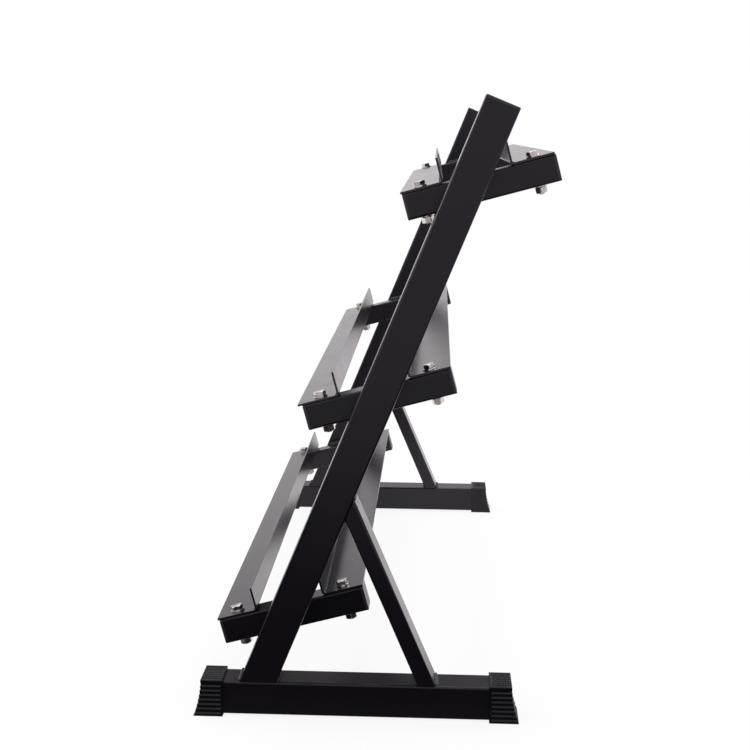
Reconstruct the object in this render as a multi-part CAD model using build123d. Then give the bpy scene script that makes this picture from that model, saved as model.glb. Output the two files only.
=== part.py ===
from build123d import *
import math
import os

# Three-tier dumbbell rack: two welded side frames joined by six bolted angle rails.
# Millimetres, +Z up. X runs along the rails, Y from the user's side to the back,
# and the origin is the middle of the footprint on the floor.

# ---- driving dimensions ----
FRAME_SPACING = 1160.0      # between the outer faces of the two side frames
REACH = 258.5               # front toe to the origin, and origin to the top arm's rear end
CAP_WALL = 3.0              # plastic under, over and beside the base tube

# base tube and the foot caps on its ends
MAIN_TUBE = 50.0            # square tube of the base and the upright
MAIN_WALL = 2.0
TUBE_CORNER = 3.5           # outside corner radius of every tube
CAP_TOP_LENGTH = 32.0
CAP_FLOOR_LENGTH = 43.0
BASE_BARE_LENGTH = 388.0    # base tube seen between the two caps
TUBE_IN_CAP = 26.0          # how far the base tube goes into each cap
GROOVES = 7                 # on each side and on the roof
GROOVE_PITCH = 7.0
LOWEST_GROOVE = 6.3         # height of its middle
GROOVE_WIDTH = 3.4
GROOVE_DEPTH = 1.5          # on the sides and the roof
TOE_GROOVE_DEPTH = 0.6      # across the curved end
MOUTH_BAND = 3.0            # plain rim round each cap's mouth
CAP_EDGE = 1.5              # rounding along the two top edges
TOE_BULGE = 0.28            # share of the toe's length reached halfway up its curved end

# upright
LEAN = 22.1                 # degrees from vertical, towards the back
UPRIGHT_FOOT = 121.7        # front toe to the upright's rear face at the base
UPRIGHT_LENGTH = 882.0      # along its rear face, from the base to the cut end
PLUG_FLANGE = 4.0
PLUG_DEPTH = 18.0
PLUG_WALL = 2.5
PLUG_GAP = 0.2              # between a plug's skirt and the tube's inside
PLUG_EDGE = 1.2             # rounding of a plug's outer edges
SKIRT_CORNER = 1.0
SKIRT_INNER_CORNER = 0.5

# brace between the base and the upright
BRACE_LEAN = 23.3           # degrees from vertical, towards the front
BRACE_FOOT = 352.6          # front toe to the brace's rear face at the base
BRACE_DEPTH = 24.0
BRACE_WALL = 1.5
BRACE_BLANK = 500.0         # stock length before both ends are cut

# shelf arms on the inner side of each upright
ARM_TUBE = 38.0
ARM_WALL = 2.0
ARM_LENGTH = 220.0          # over both end plugs
ARM_PLUG_FLANGE = 4.0
TILT = 15.2                 # degrees down towards the front
# tier: height at which the arm's top face crosses the upright's middle line,
# and arm length ahead of that crossing; the top arm's comes from REACH
MIDDLE_CROSSING = (484.8, 119.0)
BOTTOM_CROSSING = (155.8, 109.0)
TOP_ARM_END_HEIGHT = 813.4  # top rear corner of the top arm

# angle rails: front overhang, rear overhang past the arms' ends for each tier
RAIL_LEG = 62.0             # leg that lies on the arms
RAIL_UPSTAND = 36.5         # upstanding leg, over the plate
RAIL_PLATE = 3.0
RAIL_BEND = 3.0             # inside bend radius
OVERHANGS = {"top": (1.5, -1.5), "middle": (6.0, 0.0), "bottom": (2.0, 1.0)}

# M10 bolts through rail and arm
BOLT_FROM_FRONT = 27.0
BOLT_FROM_REAR = 30.0
BOLT_DIAMETER = 10.0
BOLT_HOLE = 11.0
BOLT_LENGTH = 55.0
HEX_FLATS = 16.0
HEAD_HEIGHT = 6.4
NUT_HEIGHT = 8.4
WASHER_DIAMETER = 20.0
WASHER_BORE = 10.5
WASHER_THICKNESS = 2.0
THREAD_GAP = 0.15           # between the nut's bore and the bolt
HEX_CHAMFER = 0.9
BOLT_END_CHAMFER = 1.0

WELD_LEG = 4.0

# ---- places worked out from them ----
HALF = FRAME_SPACING / 2
FRAME_MIDDLE = HALF - MAIN_TUBE / 2
ARM_OUTER = HALF - MAIN_TUBE
ARM_MIDDLE = ARM_OUTER - ARM_TUBE / 2
BASE_BOTTOM = CAP_WALL
BASE_TOP = BASE_BOTTOM + MAIN_TUBE
BASE_FRONT = CAP_FLOOR_LENGTH - REACH
BASE_REAR = BASE_FRONT + BASE_BARE_LENGTH
lean = math.radians(LEAN)
brace_lean = math.radians(BRACE_LEAN)
tilt = math.radians(TILT)


def axis_plane(x, y, z, dir_y, dir_z):
    """Plane at (x, y, z) whose Z runs along (0, dir_y, dir_z), with X kept along the rack."""
    return Plane(origin=(x, y, z), x_dir=(1, 0, 0), z_dir=(0, dir_y, dir_z))


def tube(plane, width, depth, wall, length):
    """Rectangular tube with rounded corners, from the plane along its Z."""
    outer = RectangleRounded(width, depth, TUBE_CORNER)
    inner = RectangleRounded(width - 2 * wall, depth - 2 * wall, TUBE_CORNER - wall)
    return extrude(plane * (outer - inner), amount=length, dir=plane.z_dir)


def end_plug(plane, size, wall, flange):
    """Plastic plug: a flange on the tube's end and a hollow skirt inside it (plane Z points out)."""
    cover = extrude(RectangleRounded(size, size, TUBE_CORNER), amount=flange)
    cover = fillet(cover.faces().sort_by(Axis.Z)[-1].edges(), PLUG_EDGE)
    inside = size - 2 * (wall + PLUG_GAP)
    hollow = inside - 2 * PLUG_WALL
    skirt = RectangleRounded(inside, inside, SKIRT_CORNER)
    skirt -= RectangleRounded(hollow, hollow, SKIRT_INNER_CORNER)
    return plane * (cover + extrude(skirt, amount=-PLUG_DEPTH))


# ---- base tube and foot caps ----
def base_tube():
    start = axis_plane(FRAME_MIDDLE, BASE_FRONT - TUBE_IN_CAP, BASE_BOTTOM + MAIN_TUBE / 2, 1, 0)
    return tube(start, MAIN_TUBE, MAIN_TUBE, MAIN_WALL, BASE_BARE_LENGTH + 2 * TUBE_IN_CAP)


def cap_profile(inset):
    """Side view of a foot cap, mouth at 0 and toe at -CAP_FLOOR_LENGTH, shrunk by an inset."""
    height = BASE_TOP + CAP_WALL - inset
    toe = inset - CAP_FLOOR_LENGTH
    shoulder = inset - CAP_TOP_LENGTH
    waist = (shoulder + TOE_BULGE * (toe - shoulder), height / 2)
    with BuildSketch(Plane.YZ) as profile:
        with BuildLine():
            Polyline((toe, 0), (0, 0), (0, height), (shoulder, height))
            ThreePointArc((shoulder, height), waist, (toe, 0))
        make_face()
    return profile.sketch


def front_foot_cap():
    width = MAIN_TUBE + 2 * CAP_WALL
    height = BASE_TOP + CAP_WALL
    shell = extrude(cap_profile(0), amount=width / 2, both=True)
    shell = fillet(shell.edges().filter_by(Axis.Y).group_by(Axis.Z)[-1], CAP_EDGE)
    core = extrude(cap_profile(TOE_GROOVE_DEPTH), amount=width / 2 - GROOVE_DEPTH, both=True)
    # side grooves run round both sides and the end, roof grooves along the top
    placed = (Align.CENTER, Align.MAX, Align.CENTER)
    ring = Box(2 * width, CAP_FLOOR_LENGTH, GROOVE_WIDTH, align=placed)
    line = Box(GROOVE_WIDTH, CAP_FLOOR_LENGTH, 2 * GROOVE_DEPTH, align=placed)
    for step in range(GROOVES):
        shell -= ring.moved(Location((0, -MOUTH_BAND, LOWEST_GROOVE + GROOVE_PITCH * step))) - core
        x = GROOVE_PITCH * (step - (GROOVES - 1) / 2)
        shell -= line.moved(Location((x, -MOUTH_BAND, height)))
    pocket = extrude(axis_plane(0, 0, BASE_BOTTOM + MAIN_TUBE / 2, -1, 0)
                     * RectangleRounded(MAIN_TUBE, MAIN_TUBE, TUBE_CORNER), amount=TUBE_IN_CAP)
    return Location((FRAME_MIDDLE, BASE_FRONT, 0)) * (shell - pocket)


def rear_foot_cap():
    middle = Plane.XZ.offset(-(BASE_FRONT + BASE_REAR) / 2)
    return mirror(front_foot_cap(), about=middle)


# ---- upright, brace ----
UPRIGHT_REAR_FOOT = UPRIGHT_FOOT - REACH    # Y of the upright's rear face at the base top


def upright_plane(along, across):
    """Plane on the upright's axis: distance along it from the base, and across it from its rear face."""
    y = UPRIGHT_REAR_FOOT + along * math.sin(lean) + across * math.cos(lean)
    z = BASE_TOP + along * math.cos(lean) - across * math.sin(lean)
    return axis_plane(FRAME_MIDDLE, y, z, math.sin(lean), math.cos(lean))


def upright_tube():
    spare = MAIN_TUBE
    start = upright_plane(-spare, -MAIN_TUBE / 2)
    full = tube(start, MAIN_TUBE, MAIN_TUBE, MAIN_WALL, UPRIGHT_LENGTH + spare)
    return split(full, bisect_by=Plane.XY.offset(BASE_TOP), keep=Keep.TOP)


def upright_end_plug():
    return end_plug(upright_plane(UPRIGHT_LENGTH, -MAIN_TUBE / 2), MAIN_TUBE, MAIN_WALL, PLUG_FLANGE)


def brace_tube():
    foot_y = BRACE_FOOT - REACH
    start_y = foot_y - BRACE_DEPTH / 2 / math.cos(brace_lean) + MAIN_TUBE * math.tan(brace_lean)
    start = axis_plane(FRAME_MIDDLE, start_y, BASE_TOP - MAIN_TUBE,
                       -math.sin(brace_lean), math.cos(brace_lean))
    full = tube(start, MAIN_TUBE, BRACE_DEPTH, BRACE_WALL, BRACE_BLANK)
    above_base = split(full, bisect_by=Plane.XY.offset(BASE_TOP), keep=Keep.TOP)
    rear_face = Plane(origin=(0, UPRIGHT_REAR_FOOT, BASE_TOP), x_dir=(1, 0, 0),
                      z_dir=(0, math.cos(lean), -math.sin(lean)))
    return split(above_base, bisect_by=rear_face, keep=Keep.TOP)


# ---- shelf arms ----
def arm_front(tier):
    """Y and Z of the arm's top front corner."""
    if tier == "top":
        rear_y = REACH - ARM_TUBE * math.sin(tilt)
        return rear_y - ARM_LENGTH * math.cos(tilt), TOP_ARM_END_HEIGHT - ARM_LENGTH * math.sin(tilt)
    height, ahead = {"middle": MIDDLE_CROSSING, "bottom": BOTTOM_CROSSING}[tier]
    middle_line = UPRIGHT_REAR_FOOT - MAIN_TUBE / 2 / math.cos(lean)
    crossing_y = middle_line + (height - BASE_TOP) * math.tan(lean)
    return crossing_y - ahead * math.cos(tilt), height - ahead * math.sin(tilt)


def arm_location(tier, x=0.0):
    """Frame of a tier: local Y along the arm towards the back, local Z out of its top face."""
    y, z = arm_front(tier)
    return Location((x, y, z), (TILT, 0, 0))


def shelf_arm(tier):
    start = axis_plane(ARM_MIDDLE, ARM_PLUG_FLANGE, -ARM_TUBE / 2, 1, 0)
    body = tube(start, ARM_TUBE, ARM_TUBE, ARM_WALL, ARM_LENGTH - 2 * ARM_PLUG_FLANGE)
    for y in (BOLT_FROM_FRONT, ARM_LENGTH - BOLT_FROM_REAR):
        body -= Location((ARM_MIDDLE, y, -ARM_TUBE / 2)) * Cylinder(BOLT_HOLE / 2, 2 * ARM_TUBE)
    return arm_location(tier) * body


def arm_plug(tier, end):
    front = axis_plane(ARM_MIDDLE, ARM_PLUG_FLANGE, -ARM_TUBE / 2, -1, 0)
    rear = axis_plane(ARM_MIDDLE, ARM_LENGTH - ARM_PLUG_FLANGE, -ARM_TUBE / 2, 1, 0)
    plane = front if end == "front" else rear
    return arm_location(tier) * end_plug(plane, ARM_TUBE, ARM_WALL, ARM_PLUG_FLANGE)


# ---- rails ----
def rail(tier, end):
    """Angle rail along the whole rack: flat leg on the arms, the other leg standing at its inner edge."""
    inside = (RAIL_LEG - RAIL_PLATE, RAIL_PLATE)
    section = Polygon((0, RAIL_PLATE), (0, 0), (RAIL_LEG, 0), (RAIL_LEG, RAIL_UPSTAND),
                      (RAIL_LEG - RAIL_PLATE, RAIL_UPSTAND), inside, align=None)
    section = fillet(section.vertices().sort_by_distance((RAIL_LEG, 0, 0))[0], RAIL_BEND + RAIL_PLATE)
    section = fillet(section.vertices().sort_by_distance((*inside, 0))[0], RAIL_BEND)
    body = extrude(Plane.YZ * section, amount=ARM_OUTER, both=True)
    front_over, rear_over = OVERHANGS[tier]
    if end == "front":
        place = Location((0, -front_over, 0))
        hole_y = BOLT_FROM_FRONT
    else:
        body = mirror(body, about=Plane.XZ)
        place = Location((0, ARM_LENGTH + rear_over, 0))
        hole_y = ARM_LENGTH - BOLT_FROM_REAR
    body = place * body
    for x in (-ARM_MIDDLE, ARM_MIDDLE):
        body -= Location((x, hole_y, 0)) * Cylinder(BOLT_HOLE / 2, 4 * RAIL_PLATE)
    return arm_location(tier) * body


# ---- fasteners ----
def hexagon(height):
    """Hexagon prism from Z 0 upwards, its top corners rounded off by a chamfered cylinder."""
    prism = extrude(RegularPolygon(HEX_FLATS / 2, 6, major_radius=False), amount=height)
    turned = Cylinder(HEX_FLATS / math.sqrt(3), height, align=(Align.CENTER, Align.CENTER, Align.MIN))
    return prism & chamfer(turned.edges().sort_by(Axis.Z)[-1], HEX_CHAMFER)


def hex_bolt():
    shank = Cylinder(BOLT_DIAMETER / 2, BOLT_LENGTH, align=(Align.CENTER, Align.CENTER, Align.MAX))
    shank = chamfer(shank.edges().sort_by(Axis.Z)[0], BOLT_END_CHAMFER)
    return Location((0, 0, RAIL_PLATE + WASHER_THICKNESS)) * (hexagon(HEAD_HEIGHT) + shank)


def washer(base):
    disc = Cylinder(WASHER_DIAMETER / 2, WASHER_THICKNESS, align=(Align.CENTER, Align.CENTER, Align.MIN))
    bore = Cylinder(WASHER_BORE / 2, 3 * WASHER_THICKNESS)
    return Location((0, 0, base)) * (disc - bore)


def head_washer():
    return washer(RAIL_PLATE)


def nut_washer():
    return washer(-ARM_TUBE - WASHER_THICKNESS)


def nut():
    blank = hexagon(NUT_HEIGHT) - Cylinder(BOLT_DIAMETER / 2 + THREAD_GAP, 3 * NUT_HEIGHT)
    return Location((0, 0, -ARM_TUBE - WASHER_THICKNESS), (180, 0, 0)) * blank


def at_tier_bolts(tier, piece):
    """The four copies of a fastener piece on one tier."""
    places = [(x, y) for x in (-ARM_MIDDLE, ARM_MIDDLE)
              for y in (BOLT_FROM_FRONT, ARM_LENGTH - BOLT_FROM_REAR)]
    return Compound(children=[arm_location(tier) * (Location((x, y, 0)) * piece) for x, y in places])


# ---- weld beads ----
def bead(corner, leg_a, leg_b):
    """Fillet weld along X across a side frame: a triangle with legs along two directions in YZ."""
    toes = [(corner[0] + WELD_LEG * leg[0], corner[1] + WELD_LEG * leg[1]) for leg in (leg_a, leg_b)]
    width = MAIN_TUBE - 2 * TUBE_CORNER
    outline = Plane.YZ.offset(FRAME_MIDDLE) * Polygon(corner, *toes, align=None)
    return extrude(outline, amount=width / 2, both=True)


def frame_beads():
    """Beads at the feet of the upright and the brace, and where the brace meets the upright."""
    up = (math.sin(lean), math.cos(lean))
    brace_up = (-math.sin(brace_lean), math.cos(brace_lean))
    down, brace_down = (-up[0], -up[1]), (-brace_up[0], -brace_up[1])
    brace_rear = BRACE_FOOT - REACH
    brace_front = brace_rear - BRACE_DEPTH / math.cos(brace_lean)
    upright_front = UPRIGHT_REAR_FOOT - MAIN_TUBE / math.cos(lean)
    beads = [bead((upright_front, BASE_TOP), (-1, 0), up),
             bead((UPRIGHT_REAR_FOOT, BASE_TOP), (1, 0), up),
             bead((brace_front, BASE_TOP), (-1, 0), brace_up),
             bead((brace_rear, BASE_TOP), (1, 0), brace_up)]
    closing = math.tan(lean) + math.tan(brace_lean)
    for foot, leg_a, leg_b in ((brace_front, down, brace_down), (brace_rear, up, brace_down)):
        rise = (foot - UPRIGHT_REAR_FOOT) / closing
        meet = (UPRIGHT_REAR_FOOT + rise * math.tan(lean), BASE_TOP + rise)
        beads.append(bead(meet, leg_a, leg_b))
    return beads


def arm_beads(tier):
    """Beads above and below an arm, along the upright's inner face."""
    front_y, front_z = arm_front(tier)
    beads = []
    for z, sign in ((0.0, 1), (-ARM_TUBE, -1)):
        # where the upright's two faces cross this face of the arm
        y0 = front_y - z * math.sin(tilt)
        z0 = front_z + z * math.cos(tilt)
        spread = math.cos(lean) * math.cos(tilt) - math.sin(lean) * math.sin(tilt)
        rear = ((UPRIGHT_REAR_FOOT - y0) * math.cos(lean) - (BASE_TOP - z0) * math.sin(lean)) / spread
        start = rear - MAIN_TUBE / spread + TUBE_CORNER
        section = Plane(origin=(ARM_OUTER, start, z), x_dir=(1, 0, 0), z_dir=(0, 1, 0))
        outline = Polygon((0, 0), (-WELD_LEG, 0), (0, -sign * WELD_LEG), align=None)
        prism = extrude(section * outline, amount=MAIN_TUBE / spread - 2 * TUBE_CORNER, dir=(0, 1, 0))
        beads.append(arm_location(tier) * prism)
    return beads


# ---- assembly ----
TIERS = ("top", "middle", "bottom")
os.makedirs("parts", exist_ok=True)


def save(name, shape):
    export_step(shape, "parts/" + name + ".step")


def save_pair(name, shape):
    """Write a side-frame piece on the right (+X) and its mirror image on the left."""
    save("right_" + name, shape)
    save("left_" + name, mirror(shape, about=Plane.YZ))


save_pair("base_tube", base_tube())
save_pair("front_foot_cap", front_foot_cap())
save_pair("rear_foot_cap", rear_foot_cap())
save_pair("upright_tube", upright_tube())
save_pair("upright_end_plug", upright_end_plug())
save_pair("brace_tube", brace_tube())
all_beads = frame_beads()
for tier in TIERS:
    save_pair(tier + "_arm", shelf_arm(tier))
    all_beads += arm_beads(tier)
    for end in ("front", "rear"):
        save_pair(tier + "_arm_" + end + "_plug", arm_plug(tier, end))
        save(tier + "_" + end + "_rail", rail(tier, end))
    save(tier + "_hex_bolts", at_tier_bolts(tier, hex_bolt()))
    save(tier + "_head_washers", at_tier_bolts(tier, head_washer()))
    save(tier + "_nut_washers", at_tier_bolts(tier, nut_washer()))
    save(tier + "_nuts", at_tier_bolts(tier, nut()))
save_pair("weld_beads", Compound(children=all_beads))
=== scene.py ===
import math
import random

import bmesh
import bpy
from mathutils import Matrix, Vector, noise


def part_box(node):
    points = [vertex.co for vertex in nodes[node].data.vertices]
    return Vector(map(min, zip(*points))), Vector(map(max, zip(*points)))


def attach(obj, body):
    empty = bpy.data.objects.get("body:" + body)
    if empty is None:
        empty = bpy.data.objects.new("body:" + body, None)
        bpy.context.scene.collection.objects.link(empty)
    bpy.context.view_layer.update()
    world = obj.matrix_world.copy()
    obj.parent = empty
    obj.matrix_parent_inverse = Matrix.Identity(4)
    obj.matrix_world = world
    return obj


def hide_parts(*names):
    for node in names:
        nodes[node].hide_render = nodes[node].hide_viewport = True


# Three-tier dumbbell rack: black powder-coated tube frame and angle rails, ribbed foot
# caps, end plugs, zinc-plated bolts. The CAD nodes are the frame of everything here.
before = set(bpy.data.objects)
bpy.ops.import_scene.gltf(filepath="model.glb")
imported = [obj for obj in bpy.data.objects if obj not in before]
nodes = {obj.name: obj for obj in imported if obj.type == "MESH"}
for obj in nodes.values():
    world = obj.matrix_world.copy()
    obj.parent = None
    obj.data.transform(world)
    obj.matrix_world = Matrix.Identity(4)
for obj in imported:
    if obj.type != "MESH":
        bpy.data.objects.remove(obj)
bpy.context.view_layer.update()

MM = 0.001
SIDES = ("right", "left")
TIERS = ("top", "middle", "bottom")
ENDS = ("front", "rear")
TILT = math.radians(15.2)       # the shelves fall this much towards the user
ALONG = Vector((0, math.cos(TILT), math.sin(TILT)))     # up the slope of a shelf
UPRIGHT_OFF = Vector((0, -math.sin(TILT), math.cos(TILT)))  # square to a shelf
LENGTHWAYS = Vector((1, 0, 0))                          # along the rails


# ---------------------------------------------------------------- node helpers
class Graph:
    """Short calls for wiring nodes in one material, world or node group."""

    def __init__(self, tree):
        self.tree = tree

    def add(self, kind, inputs=None, **settings):
        node = self.tree.nodes.new(kind)
        for key, value in settings.items():
            setattr(node, key, value)
        for key, value in (inputs or {}).items():
            if isinstance(value, bpy.types.NodeSocket):
                self.tree.links.new(value, node.inputs[key])
            else:
                node.inputs[key].default_value = value
        return node

    def math(self, operation, a, b=0.0, clamp=False):
        node = self.add("ShaderNodeMath", {0: a, 1: b}, operation=operation, use_clamp=clamp)
        return node.outputs[0]

    def noise(self, vector, scale, detail=2.0, roughness=0.5):
        return self.add("ShaderNodeTexNoise", {
            "Vector": vector, "Scale": scale, "Detail": detail, "Roughness": roughness}).outputs["Fac"]

    def remap(self, value, low, high, to_low=0.0, to_high=1.0, smooth=True):
        return self.add("ShaderNodeMapRange", {
            "Value": value, "From Min": low, "From Max": high, "To Min": to_low, "To Max": to_high},
            interpolation_type="SMOOTHSTEP" if smooth else "LINEAR").outputs["Result"]

    def blend(self, factor, a, b):
        node = self.add("ShaderNodeMix", data_type="RGBA")
        for socket, value in ((node.inputs[0], factor), (node.inputs[6], a), (node.inputs[7], b)):
            if isinstance(value, bpy.types.NodeSocket):
                self.tree.links.new(value, socket)
            elif isinstance(value, (tuple, list)):
                socket.default_value = (*value, 1.0)
            else:
                socket.default_value = value
        return node.outputs[2]

    def stretch(self, vector, scale, rotation=(0, 0, 0)):
        return self.add("ShaderNodeMapping", {
            "Vector": vector, "Scale": scale, "Rotation": rotation}).outputs["Vector"]


def effect(name, inputs, outputs):
    """New node group with named sockets. Returns the group, its graph, its inputs and its output node."""
    group = bpy.data.node_groups.new(name, "ShaderNodeTree")
    for label, kind, default in inputs:
        socket = group.interface.new_socket(name=label, in_out="INPUT", socket_type=kind)
        if default is not None:
            socket.default_value = default
    for label, kind in outputs:
        group.interface.new_socket(name=label, in_out="OUTPUT", socket_type=kind)
    graph = Graph(group)
    source = group.nodes.new("NodeGroupInput").outputs
    sink = group.nodes.new("NodeGroupOutput").inputs
    return group, graph, source, sink


FLOAT, VECTOR, COLOR = "NodeSocketFloat", "NodeSocketVector", "NodeSocketColor"


# ---------------------------------------------------------------- shared effects
def make_orange_peel():
    """Skin of a baked powder coat: fine pebbles over a slow waviness."""
    group, g, source, sink = effect(
        "orange_peel", [("Vector", VECTOR, None), ("Pebble", FLOAT, 900.0), ("Waviness", FLOAT, 0.35)],
        [("Height", FLOAT), ("Gloss", FLOAT)])
    pebble = g.noise(source["Vector"], source["Pebble"], detail=1.5, roughness=0.45)
    slow_scale = g.math("MULTIPLY", source["Pebble"], 0.13)
    slow = g.noise(source["Vector"], slow_scale)
    mixed = g.math("ADD", pebble, g.math("MULTIPLY", slow, source["Waviness"]))
    patch = g.noise(source["Vector"], 14.0, detail=3.0, roughness=0.55)
    g.tree.links.new(mixed, sink["Height"])
    g.tree.links.new(g.math("ADD", g.math("MULTIPLY", pebble, 0.4), g.math("MULTIPLY", patch, 0.6)),
                     sink["Gloss"])
    return group


def make_edge_wear():
    """Mask of thin, rubbed coat along sharp edges, broken up by noise."""
    group, g, source, sink = effect(
        "edge_wear", [("Vector", VECTOR, None), ("Radius", FLOAT, 0.0008), ("Amount", FLOAT, 0.5)],
        [("Mask", FLOAT)])
    rounded = g.add("ShaderNodeBevel", {"Radius": source["Radius"]}, samples=4).outputs[0]
    straight = g.add("ShaderNodeNewGeometry").outputs["Normal"]
    along = g.add("ShaderNodeVectorMath", {0: rounded, 1: straight},
                  operation="DOT_PRODUCT").outputs["Value"]
    edge = g.remap(g.math("SUBTRACT", 1.0, along), low=0.02, high=0.16)
    breaks = g.noise(source["Vector"], 160.0, detail=4.0, roughness=0.6)
    broken = g.remap(breaks, low=0.42, high=0.66)
    g.tree.links.new(g.math("MULTIPLY", g.math("MULTIPLY", edge, broken), source["Amount"]), sink["Mask"])
    return group


def make_settled_dust():
    """Mask of fine dust on faces that look upwards."""
    group, g, source, sink = effect(
        "settled_dust", [("Vector", VECTOR, None), ("Amount", FLOAT, 0.5)], [("Mask", FLOAT)])
    normal = g.add("ShaderNodeNewGeometry").outputs["Normal"]
    upward = g.remap(g.add("ShaderNodeSeparateXYZ", {0: normal}).outputs["Z"], low=0.25, high=0.95)
    drift = g.noise(source["Vector"], 22.0, detail=5.0, roughness=0.62)
    cloud = g.remap(drift, low=0.38, high=0.72)
    grit = g.noise(source["Vector"], 1400.0, detail=1.0)
    specks = g.remap(grit, low=0.70, high=0.78)
    film = g.math("ADD", g.math("MULTIPLY", cloud, 0.55), g.math("MULTIPLY", specks, 0.45))
    g.tree.links.new(g.math("MULTIPLY", g.math("MULTIPLY", film, upward), source["Amount"]), sink["Mask"])
    return group


# one run of scratches each: turn of the pattern, and its scale along the three axes
SCRATCH_RUNS = (((0.2, 0.5, 0.1), (18, 900, 900)),
                ((0.9, -0.3, 0.7), (900, 26, 900)),
                ((-0.4, 1.1, 0.3), (900, 900, 22)))


def make_hairlines():
    """Mask of faint handling scratches in three directions."""
    group, g, source, sink = effect(
        "hairlines", [("Vector", VECTOR, None), ("Density", FLOAT, 0.5)], [("Mask", FLOAT)])
    total = None
    for turn, scale in SCRATCH_RUNS:
        lines = g.noise(g.stretch(source["Vector"], scale, turn), 1.0, detail=1.0, roughness=0.4)
        thin = g.remap(lines, low=0.715, high=0.76)
        total = thin if total is None else g.math("MAXIMUM", total, thin)
    handled = g.noise(source["Vector"], 9.0)
    where = g.remap(handled, low=0.45, high=0.7)
    g.tree.links.new(g.math("MULTIPLY", g.math("MULTIPLY", total, where), source["Density"]), sink["Mask"])
    return group


def make_moulded_grain():
    """Dull spark-eroded skin of an injection moulding."""
    group, g, source, sink = effect(
        "moulded_grain", [("Vector", VECTOR, None), ("Grain", FLOAT, 2200.0)],
        [("Height", FLOAT), ("Tone", FLOAT)])
    fine = g.noise(source["Vector"], source["Grain"], roughness=0.6)
    flow = g.noise(g.stretch(source["Vector"], (30, 70, 30)), 1.0, detail=3.0)
    g.tree.links.new(g.math("ADD", g.math("MULTIPLY", fine, 0.8), g.math("MULTIPLY", flow, 0.2)),
                     sink["Height"])
    g.tree.links.new(g.math("ADD", g.math("MULTIPLY", flow, 0.7), g.math("MULTIPLY", fine, 0.3)),
                     sink["Tone"])
    return group


CLEAN_ZINC = (0.60, 0.585, 0.575)
STRAW_ZINC = (0.46, 0.39, 0.31)
RUBBED_ZINC = (0.74, 0.73, 0.72)


def make_zinc_bloom():
    """Colour and dullness of bright zinc plating: cool metal, faint straw patches, tumbling marks."""
    group, g, source, sink = effect(
        "zinc_bloom", [("Vector", VECTOR, None), ("Straw", FLOAT, 0.5)],
        [("Color", COLOR), ("Dullness", FLOAT), ("Height", FLOAT)])
    patch = g.noise(source["Vector"], 170.0, detail=3.0, roughness=0.6)
    tint = g.math("MULTIPLY", g.remap(patch, low=0.42, high=0.68), source["Straw"])
    color = g.blend(tint, CLEAN_ZINC, STRAW_ZINC)
    dents = g.noise(source["Vector"], 900.0, detail=3.0, roughness=0.65)
    g.tree.links.new(color, sink["Color"])
    g.tree.links.new(g.remap(dents, low=0.3, high=0.75), sink["Dullness"])
    g.tree.links.new(dents, sink["Height"])
    return group


ORANGE_PEEL = make_orange_peel()
EDGE_WEAR = make_edge_wear()
SETTLED_DUST = make_settled_dust()
HAIRLINES = make_hairlines()
MOULDED_GRAIN = make_moulded_grain()
ZINC_BLOOM = make_zinc_bloom()


# ---------------------------------------------------------------- materials
COAT_DUST = (0.16, 0.155, 0.15)
PLASTIC_DUST = (0.15, 0.145, 0.14)
GLOSSY_COAT, RUBBED_COAT, SCRATCHED_COAT = 1.25, 2.2, 2.6   # times the coat's own colour
PALE_PLASTIC, RUBBED_PLASTIC = 1.5, 3.0                     # times the plastic's own tone


def new_material(name):
    """Empty node material: its graph, its shader and the coordinates fixed to the piece."""
    material = bpy.data.materials.new(name)
    material.use_nodes = True
    material.node_tree.nodes.clear()
    g = Graph(material.node_tree)
    shader = g.add("ShaderNodeBsdfPrincipled")
    g.add("ShaderNodeOutputMaterial", {"Surface": shader.outputs[0]})
    place = g.add("ShaderNodeTexCoord").outputs["Object"]
    return material, g, shader, place


def times(color, factor):
    return tuple(c * factor for c in color)


def use(g, group, **inputs):
    """Place a shared effect in a graph and return its outputs."""
    node = g.add("ShaderNodeGroup", node_tree=group)
    for key, value in inputs.items():
        if isinstance(value, bpy.types.NodeSocket):
            g.tree.links.new(value, node.inputs[key])
        else:
            node.inputs[key].default_value = value
    return node.outputs


def dress(g, shader, color, rough, height, depth, ior=None):
    """Wire colour, roughness and relief to the shader."""
    bump = g.add("ShaderNodeBump", {"Strength": 1.0, "Distance": depth, "Height": height})
    g.tree.links.new(color, shader.inputs["Base Color"])
    g.tree.links.new(rough, shader.inputs["Roughness"])
    g.tree.links.new(bump.outputs[0], shader.inputs["Normal"])
    if ior is not None:
        shader.inputs["IOR"].default_value = ior


def powder_coat(name, coat, pebble, depth, gloss_range, wear, dust, scratches, ior=1.45, waviness=0.3):
    """Black powder coat on steel."""
    material, g, shader, place = new_material(name)
    skin = use(g, ORANGE_PEEL, Vector=place, Pebble=pebble, Waviness=waviness)
    worn = use(g, EDGE_WEAR, Vector=place, Radius=0.9 * MM, Amount=wear)["Mask"]
    dusty = use(g, SETTLED_DUST, Vector=place, Amount=dust)["Mask"]
    scratched = use(g, HAIRLINES, Vector=place, Density=scratches)["Mask"]
    color = g.blend(skin["Gloss"], coat, times(coat, GLOSSY_COAT))
    color = g.blend(worn, color, times(coat, RUBBED_COAT))
    color = g.blend(scratched, color, times(coat, SCRATCHED_COAT))
    color = g.blend(dusty, color, COAT_DUST)
    rough = g.remap(skin["Gloss"], 0.2, 0.8, *gloss_range, smooth=False)
    rough = g.math("ADD", rough, g.math("MULTIPLY", dusty, 0.25))
    rough = g.math("SUBTRACT", rough, g.math("MULTIPLY", worn, 0.08))
    dress(g, shader, color, rough, skin["Height"], depth, ior)
    return material


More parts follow.
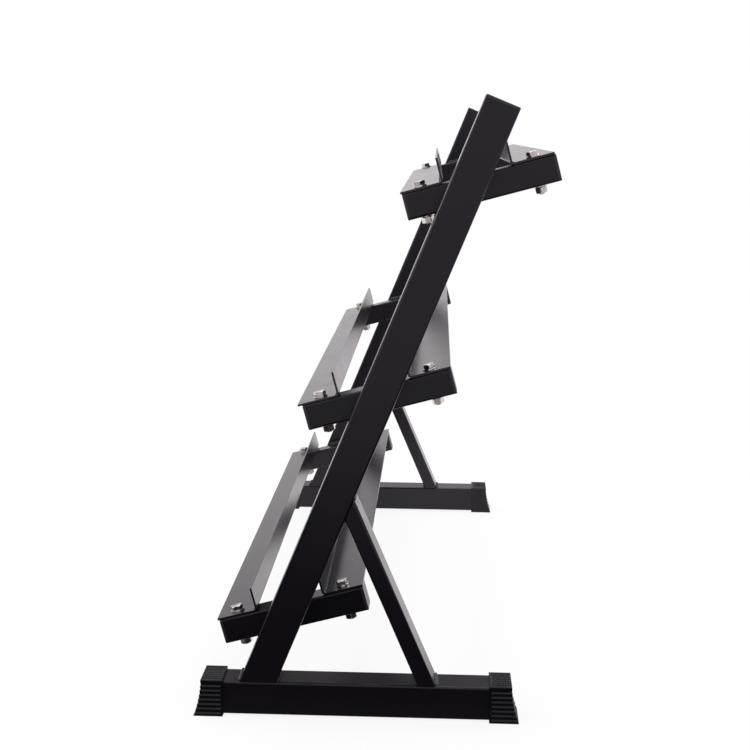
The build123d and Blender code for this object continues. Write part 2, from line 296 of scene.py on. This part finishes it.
def moulded_plastic(name, tone, grain, depth, rough_range, dust, wear, ior=1.45):
    """Black plastic with a moulded skin."""
    material, g, shader, place = new_material(name)
    skin = use(g, MOULDED_GRAIN, Vector=place, Grain=grain)
    dusty = use(g, SETTLED_DUST, Vector=place, Amount=dust)["Mask"]
    worn = use(g, EDGE_WEAR, Vector=place, Radius=0.6 * MM, Amount=wear)["Mask"]
    color = g.blend(skin["Tone"], tone, times(tone, PALE_PLASTIC))
    color = g.blend(worn, color, times(tone, RUBBED_PLASTIC))
    color = g.blend(dusty, color, PLASTIC_DUST)
    rough = g.remap(skin["Tone"], 0.25, 0.75, *rough_range, smooth=False)
    dress(g, shader, color, rough, skin["Height"], depth, ior)
    return material


def zinc_plate(name, straw, rough_range, depth):
    """Bright zinc plating on steel."""
    material, g, shader, place = new_material(name)
    bloom = use(g, ZINC_BLOOM, Vector=place, Straw=straw)
    worn = use(g, EDGE_WEAR, Vector=place, Radius=0.5 * MM, Amount=0.6)["Mask"]
    color = g.blend(worn, bloom["Color"], RUBBED_ZINC)
    rough = g.remap(bloom["Dullness"], 0.0, 1.0, *rough_range, smooth=False)
    dress(g, shader, color, rough, bloom["Height"], depth)
    shader.inputs["Metallic"].default_value = 1.0
    return material


frame_coat = powder_coat(
    "frame_powder_coat", (0.0070, 0.0060, 0.0086), pebble=950.0, depth=0.018 * MM,
    gloss_range=(0.20, 0.28), wear=0.6, dust=0.05, scratches=0.25, ior=1.37)
rail_coat = powder_coat(
    "rail_powder_coat", (0.0085, 0.0072, 0.0096), pebble=1200.0, depth=0.012 * MM,
    gloss_range=(0.20, 0.27), wear=0.6, dust=0.08, scratches=0.5, ior=1.50, waviness=0.08)
weld_coat = powder_coat(
    "weld_powder_coat", (0.0080, 0.0070, 0.0096), pebble=700.0, depth=0.06 * MM,
    gloss_range=(0.18, 0.32), wear=0.3, dust=0.05, scratches=0.0)
cap_black = moulded_plastic(
    "cap_plastic", (0.0036, 0.0032, 0.0042), grain=2400.0, depth=0.014 * MM,
    rough_range=(0.22, 0.32), dust=0.03, wear=0.4, ior=1.38)
plug_black = moulded_plastic(
    "plug_plastic", (0.0210, 0.0188, 0.0240), grain=2600.0, depth=0.012 * MM,
    rough_range=(0.32, 0.44), dust=0.06, wear=0.6)
bolt_zinc = zinc_plate("bolt_zinc", straw=0.9, rough_range=(0.10, 0.24), depth=0.030 * MM)
washer_zinc = zinc_plate("washer_zinc", straw=0.6, rough_range=(0.14, 0.30), depth=0.022 * MM)


# ---------------------------------------------------------------- CAD nodes kept
TUBE_ROUNDING = 0.35 * MM
RAIL_ROUNDING = 0.6 * MM
JOIN_DISTANCE = 0.001 * MM
FLAT_ANGLE = math.radians(0.5)
EDGE_ANGLE = math.radians(38)       # sharper edges than this are rounded
SMOOTH_ANGLE = math.radians(32)     # shallower edges than this are shaded smooth


def finish_node(name, material, rounding=TUBE_ROUNDING):
    """Better material on a CAD node, and the small rounding that stock has on its edges."""
    node = nodes[name]
    for slot in node.material_slots:
        slot.material = material
    weld = node.modifiers.new("join_faces", "WELD")
    weld.merge_threshold = JOIN_DISTANCE
    flat = node.modifiers.new("merge_flats", "DECIMATE")
    flat.decimate_type = "DISSOLVE"
    flat.angle_limit = FLAT_ANGLE
    edge = node.modifiers.new("edge_round", "BEVEL")
    edge.width = rounding
    edge.segments = 2
    edge.limit_method = "ANGLE"
    edge.angle_limit = EDGE_ANGLE
    edge.harden_normals = True


for side in SIDES:
    for part in ("base_tube", "upright_tube", "brace_tube", "top_arm", "middle_arm", "bottom_arm"):
        finish_node(f"{side}_{part}", frame_coat)
    finish_node(f"{side}_upright_end_plug", plug_black)
    for tier in TIERS:
        for end in ENDS:
            finish_node(f"{side}_{tier}_arm_{end}_plug", plug_black)
for tier in TIERS:
    for end in ENDS:
        finish_node(f"{tier}_{end}_rail", rail_coat, RAIL_ROUNDING)


# ---------------------------------------------------------------- mesh helpers
def new_piece(name, mesh_builder, material, body="root"):
    """Piece of the builder's mesh, smooth-shaded up to its sharp edges, riding on a body."""
    mesh = bpy.data.meshes.new(name)
    bm = bmesh.new()
    mesh_builder(bm)
    bmesh.ops.recalc_face_normals(bm, faces=bm.faces)
    bm.to_mesh(mesh)
    bm.free()
    mesh.materials.append(material)
    for face in mesh.polygons:
        face.use_smooth = True
    mesh.set_sharp_from_angle(angle=SMOOTH_ANGLE)
    piece = bpy.data.objects.new(name, mesh)
    bpy.context.scene.collection.objects.link(piece)
    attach(piece, body)
    return piece


def skin_rings(bm, rings, closed_ring=True, cap_start=False, cap_end=False):
    """Quads between successive rings of vertices with equal counts."""
    for a, b in zip(rings, rings[1:]):
        count = len(a)
        for i in range(count if closed_ring else count - 1):
            j = (i + 1) % count
            bm.faces.new((a[i], a[j], b[j], b[i]))
    if cap_start:
        bm.faces.new(list(reversed(rings[0])))
    if cap_end:
        bm.faces.new(rings[-1])


def ring(bm, place, radius_of, height_of, steps):
    """Ring of vertices round local Z; radius and height may vary with the angle."""
    made = []
    for k in range(steps):
        angle = 2 * math.pi * k / steps
        r = radius_of(angle) if callable(radius_of) else radius_of
        z = height_of(angle) if callable(height_of) else height_of
        made.append(bm.verts.new(place @ Vector((r * math.cos(angle), r * math.sin(angle), z))))
    return made


# ---------------------------------------------------------------- foot caps
CAP_ROOF = 32 * MM          # length of the cap's top, from its mouth
CAP_WAIST = 0.28            # share of the toe's length reached halfway up
CAP_WALL = 3 * MM
CAP_POCKET = 26 * MM
CAP_EDGE = 1.5 * MM         # rounding along the two top edges
RIB_PITCH = 7 * MM
RIB_GROOVES = 7
LOWEST_GROOVE = 6.3 * MM
GROOVE_DEPTH = 1.5 * MM
TOE_GROOVE_DEPTH = 0.6 * MM
SIDE_GROOVE = (0.9 * MM, 2.7 * MM)      # half its floor, half its width at the crowns
ROOF_GROOVE = (1.5 * MM, 3.0 * MM)
RIB_START, RIB_FULL = 2.4 * MM, 3.8 * MM     # the plain band round the mouth ends here
SKIN_STEP = 0.5 * MM
CORNER_STEPS = 5
RIB_START_STEPS = 5
# lip at the mouth: distance from the mouth, and how far the skin is eased inwards there
MOUTH_LIP = ((0.0, 0.45 * MM), (0.12 * MM, 0.15 * MM), (0.45 * MM, 0.0))
# from the ribs' start out to the toe: share of the way, and the easing inwards
TOE_RUN = ((0.3, 0.0), (0.6, 0.0), (0.97, 0.0), (0.99, 0.1 * MM), (1.0, 0.35 * MM))
ROWS_UNDER_TOP = 5          # rows of the toe's face that close together with the roof


def groove_share(at, lowest, floor, mouth):
    """1 on a groove's floor, 0 on the crown of a ridge, rounded between them."""
    off = min(abs(at - lowest - RIB_PITCH * k) for k in range(RIB_GROOVES))
    t = min(1.0, max(0.0, (off - floor) / (mouth - floor)))
    return 1 - t * t * (3 - 2 * t)


def cap_section(half_width, height):
    """Path up one side, over the roof and down the other: point, outward normal, groove share."""
    side = []
    rows = int((height - CAP_EDGE) / SKIN_STEP)
    for k in range(rows + 1):
        z = (height - CAP_EDGE) * k / rows
        side.append((half_width, z, 1.0, 0.0, groove_share(z, LOWEST_GROOVE, *SIDE_GROOVE)))
    corner = []
    for k in range(1, CORNER_STEPS):
        turn = math.pi / 2 * k / CORNER_STEPS
        nx, nz = math.cos(turn), math.sin(turn)
        corner.append((half_width - CAP_EDGE + CAP_EDGE * nx, height - CAP_EDGE + CAP_EDGE * nz,
                       nx, nz, 0.0))
    roof = []
    first_groove = -RIB_PITCH * (RIB_GROOVES - 1) / 2
    columns = int(2 * (half_width - CAP_EDGE) / SKIN_STEP)
    for k in range(columns + 1):
        x = (half_width - CAP_EDGE) * (1 - 2 * k / columns)
        roof.append((x, height, 0.0, 1.0, groove_share(x, first_groove, *ROOF_GROOVE)))
    other = [(-x, z, -nx, nz, share) for x, z, nx, nz, share in reversed(side + corner)]
    return side + corner + roof + other, rows


def cap_into(bm, node_name, rear):
    """Ribbed foot cap in the box of its CAD node: mouth towards the tube, curved toe outwards."""
    low, high = (Vector(corner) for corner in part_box(node_name))
    middle = (low.x + high.x) / 2
    height = high.z - low.z
    sole = high.y - low.y
    section, rows = cap_section((high.x - low.x) / 2, height)
    # the toe's face is a parabola from the roof to the sole, through the waist halfway down:
    # bend is the reach of its middle control point, out from the roof's end
    toe_length = sole - CAP_ROOF
    bend = 2 * CAP_WAIST * toe_length - toe_length / 2

    def toe(z, share):
        s = 1 - z / height
        reach = 2 * bend * s + (toe_length - 2 * bend) * s * s
        return CAP_ROOF + reach - TOE_GROOVE_DEPTH * share

    def vert(x, out, z):
        return bm.verts.new((middle + x, low.y + out if rear else high.y - out, low.z + z))

    rib_rise = RIB_FULL - RIB_START
    stations = [(distance, ease, None) for distance, ease in MOUTH_LIP]
    stations += [(RIB_START + rib_rise * k / RIB_START_STEPS, 0.0, None)
                 for k in range(RIB_START_STEPS + 1)]
    stations += [(0.0, ease, share_out) for share_out, ease in TOE_RUN]
    loops = []
    for distance, ease, share_out in stations:
        if share_out is None:
            ribbed = min(1.0, max(0.0, (distance - RIB_START) / rib_rise))
        else:
            ribbed = 1.0
        loop = []
        for x, z, nx, nz, share in section:
            inward = ease + GROOVE_DEPTH * share * ribbed
            px, pz = x - nx * inward, z - nz * inward
            out = distance
            if share_out is not None:
                on_side = share if nx in (1.0, -1.0) else 0.0
                out = RIB_FULL + share_out * (toe(z, on_side) - RIB_FULL)
            loop.append(vert(px, out, pz))
        loops.append(loop)
    skin_rings(bm, loops, closed_ring=False)
    last = loops[-1]
    count = len(last)
    # the toe's face: strips from side to side, then one face under the roof
    top_row = rows - ROWS_UNDER_TOP
    for k in range(top_row):
        bm.faces.new((last[k], last[k + 1], last[count - 2 - k], last[count - 1 - k]))
    bm.faces.new(last[top_row:count - top_row])
    bm.faces.new([loop[0] for loop in loops] + [loop[-1] for loop in reversed(loops)])
    # the pocket that takes the tube, and the rim round its mouth
    shrink = 1 - 2 * CAP_WALL / height
    pocket = []
    for depth in (0.0, CAP_POCKET):
        pocket.append([vert(x * shrink, depth, CAP_WALL + z * shrink) for x, z, *_ in section])
    skin_rings(bm, [loops[0], pocket[0]], closed_ring=False)
    bm.faces.new((loops[0][0], pocket[0][0], pocket[0][-1], loops[0][-1]))
    skin_rings(bm, pocket)
    bm.faces.new(pocket[1])


for side in SIDES:
    for end in ENDS:
        cap_node = f"{side}_{end}_foot_cap"

        def build_cap(bm):
            cap_into(bm, cap_node, rear=end == "rear")

        cap = new_piece(f"{side}_{end}_ribbed_cap", build_cap, cap_black)
        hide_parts(cap_node)


# ---------------------------------------------------------------- fasteners
HEX_FLATS = 16 * MM
HEAD_HEIGHT = 6.4 * MM
NUT_HEIGHT = 8.4 * MM
BOLT_RADIUS = 5 * MM
BOLT_LENGTH = 55 * MM
THREAD_PITCH = 1.5 * MM
THREAD_DEPTH = 0.75 * MM
THREADED = 12 * MM          # length of thread that is modelled, from the bolt's end
CHAMFER_SLOPE = math.tan(math.radians(30))
CORNER_EASE = 0.985         # share of a true hexagon's corner that is left
HEAD_CROWN = 0.93           # round top of the head, as a share of half its flats
HEAD_FACE = 0.95            # round face under the head, the same way
NUT_CROWN = 0.94
SHANK_RADIUS = BOLT_RADIUS - 0.1 * MM
THREAD_RADIUS = BOLT_RADIUS - 0.05 * MM
THREAD_ROWS = 6             # rows of vertices in one turn of thread
THREAD_SHARPNESS = 2.4
TIP_CHAMFER = 0.9           # mm, and its slope
NUT_BORE = BOLT_RADIUS + 0.12 * MM
NUT_MOUTH = NUT_BORE + 0.9 * MM
NUT_COUNTERSINK = 0.8 * MM
NUT_TURN = 0.4              # radians between a nut and its bolt's head
WASHER_RADIUS = 10 * MM
WASHER_BORE = 5.25 * MM
WASHER_ROUNDING = 0.35 * MM
WASHER_BURR = 0.15 * MM
ROUND_STEPS = 60


def fastener_seats(node_name):
    """The four fasteners of a CAD node: x, the way up the shelf, and the lowest and highest
    point square to the shelf."""
    co = [v.co for v in nodes[node_name].data.vertices]
    along = [ALONG.dot(c) for c in co]
    half_way = (min(along) + max(along)) / 2
    seats = []
    for sign in (-1, 1):
        for rear in (False, True):
            own = [c for c, s in zip(co, along) if c.x * sign > 0 and (s > half_way) == rear]
            span = [(min(values), max(values)) for values in (
                [c.x for c in own], [ALONG.dot(c) for c in own], [UPRIGHT_OFF.dot(c) for c in own])]
            x, s = ((a + b) / 2 for a, b in span[:2])
            low, high = span[2]
            seats.append((x, s, low, high))
    return seats


def seat_matrix(x, s, height, turn=0.0):
    """Placing of a fastener: local Z square to the shelf."""
    origin = LENGTHWAYS * x + ALONG * s + UPRIGHT_OFF * height
    basis = Matrix((LENGTHWAYS, ALONG, UPRIGHT_OFF)).transposed().to_4x4()
    return Matrix.Translation(origin) @ basis @ Matrix.Rotation(turn, 4, "Z")


def hex_radius(angle):
    """Radius of a hexagon across an angle, its corners eased a little."""
    sector = (angle + math.pi / 6) % (math.pi / 3) - math.pi / 6
    corner = HEX_FLATS / 2 / math.cos(math.pi / 6)
    return min(HEX_FLATS / 2 / math.cos(sector), corner * CORNER_EASE)


def bolt_into(bm, place):
    """Hex bolt with its bearing face at local Z 0, head upwards, thread downwards."""
    crown = HEX_FLATS / 2 * HEAD_CROWN
    face_edge = HEX_FLATS / 2 * HEAD_FACE

    def chamfer_height(angle):
        return HEAD_HEIGHT - (hex_radius(angle) - crown) * CHAMFER_SLOPE

    smooth_end = BOLT_LENGTH - THREADED
    outline = (
        # dished top of the head, its chamfer and its six sides
        (0.6 * MM, HEAD_HEIGHT - 0.35 * MM), (crown * 0.62, HEAD_HEIGHT - 0.32 * MM),
        (crown * 0.86, HEAD_HEIGHT - 0.03 * MM), (crown, HEAD_HEIGHT),
        (hex_radius, chamfer_height), (hex_radius, 0.45 * MM),
        # round bearing face, then the shank
        (face_edge, 0.4 * MM), (face_edge, 0.0), (BOLT_RADIUS + 0.3 * MM, 0.0),
        (SHANK_RADIUS, -0.5 * MM), (SHANK_RADIUS, -smooth_end))
    rings = [ring(bm, place, radius, height, ROUND_STEPS) for radius, height in outline]
    rows = int(THREADED / (THREAD_PITCH / THREAD_ROWS))
    for row in range(1, rows + 1):
        depth = smooth_end + THREADED * row / rows
        to_end = (BOLT_LENGTH - depth) / MM
        fade = min(1.0, row / THREAD_ROWS)
        limit = BOLT_RADIUS - max(0.0, TIP_CHAMFER - to_end) * MM * TIP_CHAMFER

        def thread_radius(angle, depth=depth, fade=fade, limit=limit):
            phase = (depth / THREAD_PITCH + angle / (2 * math.pi)) % 1.0
            groove = max(0.0, 1 - abs(phase - 0.5) * THREAD_SHARPNESS)
            return min(THREAD_RADIUS - THREAD_DEPTH * groove * fade, limit)

        rings.append(ring(bm, place, thread_radius, -depth, ROUND_STEPS))
    skin_rings(bm, rings, cap_start=True, cap_end=True)


def nut_into(bm, place):
    """Hex nut with its bearing face at local Z 0, the rest above."""
    crown = HEX_FLATS / 2 * NUT_CROWN

    def upper(angle):
        return NUT_HEIGHT - (hex_radius(angle) - crown) * CHAMFER_SLOPE

    def lower(angle):
        return (hex_radius(angle) - crown) * CHAMFER_SLOPE

    outline = (
        (NUT_BORE, NUT_COUNTERSINK), (NUT_MOUTH, 0.0), (crown, 0.0),
        (hex_radius, lower), (hex_radius, upper),
        (crown, NUT_HEIGHT), (NUT_MOUTH, NUT_HEIGHT), (NUT_BORE, NUT_HEIGHT - NUT_COUNTERSINK))
    rings = [ring(bm, place, radius, height, ROUND_STEPS) for radius, height in outline]
    rings.append(rings[0])
    skin_rings(bm, rings)


def washer_into(bm, place, thickness, outer, bore):
    """Stamped washer: rounded on the punch side, a small burr edge on the other."""
    e, burr = WASHER_ROUNDING, WASHER_BURR
    profile = ((bore, burr), (bore + burr, 0), (outer - burr, 0), (outer, burr),
               (outer, thickness - e), (outer - 0.3 * e, thickness - 0.3 * e), (outer - e, thickness),
               (bore + e, thickness), (bore + 0.3 * e, thickness - 0.3 * e), (bore, thickness - e))
    rings = [ring(bm, place, radius, height, ROUND_STEPS) for radius, height in profile]
    rings.append(rings[0])
    skin_rings(bm, rings)


UPSIDE_DOWN = Matrix.Rotation(math.pi, 4, "X")
dice = random.Random(7)     # each bolt was tightened to an angle of its own
for tier in TIERS:
    turns = [dice.uniform(0, math.pi / 3) for _ in range(4)]
    head_seats = fastener_seats(f"{tier}_hex_bolts")
    nut_seats = fastener_seats(f"{tier}_nuts")

    def build_bolts(bm):
        for (x, s, low, _), turn in zip(head_seats, turns):
            bolt_into(bm, seat_matrix(x, s, low + BOLT_LENGTH, turn))

    def build_nuts(bm):
        for (x, s, _, high), turn in zip(nut_seats, turns):
            nut_into(bm, seat_matrix(x, s, high, turn + NUT_TURN) @ UPSIDE_DOWN)

    bolts = new_piece(f"{tier}_tier_bolts", build_bolts, bolt_zinc)
    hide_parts(f"{tier}_hex_bolts")
    nuts = new_piece(f"{tier}_tier_nuts", build_nuts, bolt_zinc)
    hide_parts(f"{tier}_nuts")
    for which in ("head", "nut"):
        washer_seats = fastener_seats(f"{tier}_{which}_washers")

        def build_washers(bm):
            for x, s, low, high in washer_seats:
                place = seat_matrix(x, s, low)
                if which == "nut":
                    place = seat_matrix(x, s, high) @ UPSIDE_DOWN
                washer_into(bm, place, high - low, WASHER_RADIUS, WASHER_BORE)

        washers = new_piece(f"{tier}_tier_{which}_washers", build_washers, washer_zinc)
        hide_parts(f"{tier}_{which}_washers")


# ---------------------------------------------------------------- weld beads
WELD_LEG = 4 * MM
LEG_TOLERANCE = 0.03 * MM
RIPPLE = 2.6 * MM           # length of one puddle of weld metal
RIPPLE_ROWS = 7             # rows of vertices in one ripple
BEAD_POINTS = 9             # points across the bead's face
BEAD_SINK = 0.5 * MM        # the root lies this far inside the tubes
BEAD_END = 1.6 * WELD_LEG   # the bead thins out over this length
BEAD_END_SIZE = 0.35
BEAD_SWELL = 0.10           # slow drift and ripple of the leg
RIPPLE_CURVE = 0.55         # how far a ripple bows back at its sides
RIPPLE_BULGE = 0.07
BEAD_ROUGHNESS = 0.12 * MM
OPEN_CORNER = 2.0           # radians; wider corners than this take a flatter bead
CORNER_BULGE, OPEN_BULGE = 0.16, 0.05
START_LUMP, STOP_LUMP = 1.9 * MM, 1.5 * MM
LUMP_INSET = 0.4 * MM
SPATTER_DROPS = 4           # to a bead
SPATTER_MM = (0.3, 0.6)     # radius
SPATTER_AWAY = (1.4, 3.2)   # distance from the root, in bead legs


def weld_lines(node_name):
    """Each CAD bead is a three-sided prism. Returns its root line and the two directions of its legs."""
    mesh = nodes[node_name].data
    keys = [tuple(round(c, 5) for c in v.co) for v in mesh.vertices]
    group = {key: key for key in keys}

    def root_of(key):
        while group[key] != key:
            key = group[key]
        return key

    for face in mesh.polygons:
        first = root_of(keys[face.vertices[0]])
        for v in face.vertices[1:]:
            group[root_of(keys[v])] = first
    prisms = {}
    for key in sorted(group):
        prisms.setdefault(root_of(key), []).append(Vector(key))
    lines = []
    for points in prisms.values():
        best = None
        for root in points:
            legs = [p for p in points
                    if p != root and abs((p - root).length - WELD_LEG) < LEG_TOLERANCE]
            ends = [p for p in points if (p - root).length > 4 * WELD_LEG]
            if len(legs) == 2 and ends:
                far = min(ends, key=lambda p: (p - root).length)
                best = best or (root, far, (legs[0] - root).normalized(), (legs[1] - root).normalized())
        lines.append(best)
    return lines


def bead_into(bm, start, end, leg_a, leg_b, seed):
    """A rounded, rippled weld bead along a root line, slightly sunk into both tubes."""
    axis = end - start
    length = axis.length
    axis.normalize()
    out = (leg_a + leg_b).normalized()
    rows = int(length / (RIPPLE / RIPPLE_ROWS))
    bulge = CORNER_BULGE if leg_a.angle(leg_b) < OPEN_CORNER else OPEN_BULGE
    rings = []
    for row in range(rows + 1):
        s = length * row / rows
        from_end = min(1.0, min(s, length - s) / BEAD_END)
        taper = min(1.0, BEAD_END_SIZE + (1 - BEAD_END_SIZE) * math.sin(from_end * math.pi / 2))
        drift = noise.noise(Vector((s * 90, seed * 3.7, 0.0)))
        loop = [bm.verts.new(start + axis * s - out * BEAD_SINK)]
        for k in range(BEAD_POINTS):
            t = k / (BEAD_POINTS - 1)
            phase = s / RIPPLE + RIPPLE_CURVE * (2 * t - 1) ** 2 + seed
            crest = 0.5 + 0.5 * math.cos(2 * math.pi * phase)
            size = WELD_LEG * taper * (1.0 + BEAD_SWELL * drift + BEAD_SWELL * crest)
            point = (leg_a * size).lerp(leg_b * size, t)
            point += out * size * (bulge + RIPPLE_BULGE * crest) * math.sin(math.pi * t)
            rough = BEAD_ROUGHNESS * noise.noise(Vector((s * 700, t * 4, seed * 1.3)))
            loop.append(bm.verts.new(start + axis * s + point + out * rough))
        rings.append(loop)
    skin_rings(bm, rings, cap_start=True, cap_end=True)


def drop_into(bm, where, radius, seed):
    """A lump of weld metal or a bead of spatter, half sunk into the tube's face."""
    made = bmesh.ops.create_icosphere(bm, subdivisions=2, radius=radius)
    for v in made["verts"]:
        lump = 0.22 * noise.noise(v.co / radius * 1.3 + Vector((seed, 0, 0)))
        v.co += v.co.normalized() * radius * lump
        v.co += where


for side in SIDES:
    lines = weld_lines(f"{side}_weld_beads")
    luck = random.Random(11 if side == "right" else 12)
    first_seed = 0 if side == "right" else 50

    def build_beads(bm):
        for number, (start, end, leg_a, leg_b) in enumerate(lines):
            bead_into(bm, start, end, leg_a, leg_b, number + first_seed)
            axis = (end - start).normalized()
            between = (leg_a + leg_b).normalized()
            # a lump where the bead starts and a smaller one where it stops
            drop_into(bm, start + axis * LUMP_INSET + between * 1.2 * MM, START_LUMP, number)
            drop_into(bm, end - axis * LUMP_INSET + between * 1.0 * MM, STOP_LUMP, number + 0.5)
            for _ in range(SPATTER_DROPS):
                leg = leg_a if luck.random() < 0.5 else leg_b
                along = luck.uniform(0.1, 0.9) * (end - start).length
                away = luck.uniform(*SPATTER_AWAY) * WELD_LEG
                radius = luck.uniform(*SPATTER_MM) * MM
                drop_into(bm, start + axis * along + leg * away, radius, luck.random())

    beads = new_piece(f"{side}_welds", build_beads, weld_coat)
    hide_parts(f"{side}_weld_beads")


# ---------------------------------------------------------------- studio
FLOOR_RADIUS = 40.0
WHITE = (1.0, 1.0, 1.0)
FLOOR_PALE, FLOOR_PALER = (0.90, 0.885, 0.89), (0.94, 0.925, 0.93)
FLOOR_TINT = (1.0, 0.965, 0.98)
SIDE_TINT, BACK_TINT = (0.98, 0.925, 1.07), (1.0, 0.958, 0.985)
SIDE_LEVEL = (0.86, 0.86, 0.86)


def studio_floor():
    """Pale floor that runs out into the background. In reflections it is bright under the far
    half of the rack, dark under the near half, and grey again further out on the camera's side."""
    mesh = bpy.data.meshes.new("studio_floor")
    bm = bmesh.new()
    bmesh.ops.create_circle(bm, cap_ends=True, segments=96, radius=FLOOR_RADIUS)
    bm.to_mesh(mesh)
    bm.free()
    material = bpy.data.materials.new("pale_floor")
    material.use_nodes = True
    material.node_tree.nodes.clear()
    g = Graph(material.node_tree)
    place = g.add("ShaderNodeTexCoord").outputs["Object"]
    seen = g.add("ShaderNodeLightPath").outputs["Is Camera Ray"]
    # as the camera sees it
    grain = g.noise(place, 60.0, detail=4.0, roughness=0.6)
    pale = g.blend(grain, FLOOR_PALE, FLOOR_PALER)
    from_middle = g.add("ShaderNodeVectorMath", {0: place}, operation="LENGTH").outputs["Value"]
    far = g.remap(from_middle, low=0.4, high=1.8, to_low=0.88, to_high=1.0)
    lit = g.add("ShaderNodeBsdfDiffuse", {"Color": pale})
    run_out = g.add("ShaderNodeEmission", {"Color": (*WHITE, 1), "Strength": 1.0})
    shown = g.add("ShaderNodeMixShader", {0: far, 1: lit.outputs[0], 2: run_out.outputs[0]})
    # as the rack reflects it
    along = g.add("ShaderNodeSeparateXYZ", {0: place}).outputs["X"]
    behind = g.remap(along, low=0.08, high=0.70, to_low=1.0, to_high=0.02)
    ahead = g.remap(along, low=1.0, high=3.0, to_low=0.0, to_high=0.60)
    tone = g.blend(g.math("ADD", behind, ahead), (0.0, 0.0, 0.0), FLOOR_TINT)
    matt = g.add("ShaderNodeBsdfDiffuse", {"Color": tone})
    glow = g.add("ShaderNodeEmission", {"Color": tone, "Strength": 1.2})
    shade = g.add("ShaderNodeMixShader", {0: 0.6, 1: matt.outputs[0], 2: glow.outputs[0]})
    both = g.add("ShaderNodeMixShader", {0: seen, 1: shade.outputs[0], 2: shown.outputs[0]})
    g.add("ShaderNodeOutputMaterial", {"Surface": both.outputs[0]})
    mesh.materials.append(material)
    floor = bpy.data.objects.new("studio_floor", mesh)
    bpy.context.scene.collection.objects.link(floor)


def studio_world():
    """Plain white to the camera. As light it is brightest low down behind the rack, dark in a
    band above that, and even on the camera's side."""
    world = bpy.data.worlds.new("studio")
    bpy.context.scene.world = world
    world.use_nodes = True
    world.node_tree.nodes.clear()
    g = Graph(world.node_tree)
    way = g.add("ShaderNodeSeparateXYZ", {0: g.add("ShaderNodeTexCoord").outputs["Generated"]}).outputs
    lean_back = g.math("ADD", g.math("MULTIPLY", way["X"], -0.8), g.math("MULTIPLY", way["Z"], 0.35))
    across = g.remap(lean_back, low=-0.60, high=0.50)
    tint = g.blend(across, SIDE_TINT, BACK_TINT)
    horizon = g.remap(way["Z"], low=0.02, high=0.14, to_low=1.38, to_high=0.98)
    fall = g.remap(way["Z"], low=0.21, high=0.38, to_low=1.0, to_high=0.14)
    rise = g.remap(way["Z"], low=0.46, high=0.75, to_low=0.0, to_high=0.65)
    back_level = g.math("MULTIPLY", horizon, g.math("ADD", fall, rise))
    level = g.blend(across, SIDE_LEVEL, back_level)
    around = g.add("ShaderNodeBackground", {"Color": tint, "Strength": level})
    plain = g.add("ShaderNodeBackground", {"Color": (*WHITE, 1), "Strength": 1.0})
    seen = g.add("ShaderNodeLightPath").outputs["Is Camera Ray"]
    both = g.add("ShaderNodeMixShader", {0: seen, 1: around.outputs[0], 2: plain.outputs[0]})
    g.add("ShaderNodeOutputWorld", {"Surface": both.outputs[0]})


def softbox(name, location, target, size, watts):
    """Rectangular studio light at a place, turned to a target."""
    light = bpy.data.lights.new(name, "AREA")
    light.shape = "RECTANGLE"
    light.size, light.size_y = size
    light.energy = watts
    lamp = bpy.data.objects.new(name, light)
    lamp.location = location
    lamp.rotation_mode = "QUATERNION"
    lamp.rotation_quaternion = (Vector(target) - Vector(location)).to_track_quat("-Z", "Y")
    bpy.context.scene.collection.objects.link(lamp)


studio_floor()
studio_world()
softbox("overhead_softbox", (-0.6, 0.1, 2.6), target=(-0.1, 0.0, 0.3), size=(2.6, 2.6), watts=34)
softbox("camera_side_fill", (2.2, -2.2, 1.9), target=(0.1, 0.0, 0.45), size=(1.2, 1.2), watts=6)
for name, y in (("front_strip", -2.6), ("rear_strip", 2.6)):
    softbox(name, (-0.3, y, 2.3), target=(0.0, 0.0, 0.4), size=(2.6, 0.5), watts=26)


# ---------------------------------------------------------------- camera
CAMERA_PLACE = Vector((2.4391, 0.0866, 0.8434))
CAMERA_YAW = math.radians(2.561)     # turned this far to the left of square-on
CAMERA_PITCH = math.radians(10.187)  # and down
CAMERA_ROLL = math.radians(0.4125)
SENSOR_WIDTH = 36.0
LENS = 65.41

camera_data = bpy.data.cameras.new("camera")
camera_data.sensor_width = SENSOR_WIDTH
camera_data.lens = LENS
camera = bpy.data.objects.new("camera", camera_data)
camera.matrix_world = (Matrix.Translation(CAMERA_PLACE)
                       @ Matrix.Rotation(math.pi / 2 + CAMERA_YAW, 4, "Z")
                       @ Matrix.Rotation(math.pi / 2 - CAMERA_PITCH, 4, "X")
                       @ Matrix.Rotation(CAMERA_ROLL, 4, "Z"))
bpy.context.scene.collection.objects.link(camera)
bpy.context.scene.camera = camera
bpy.context.scene.view_settings.view_transform = "Standard"
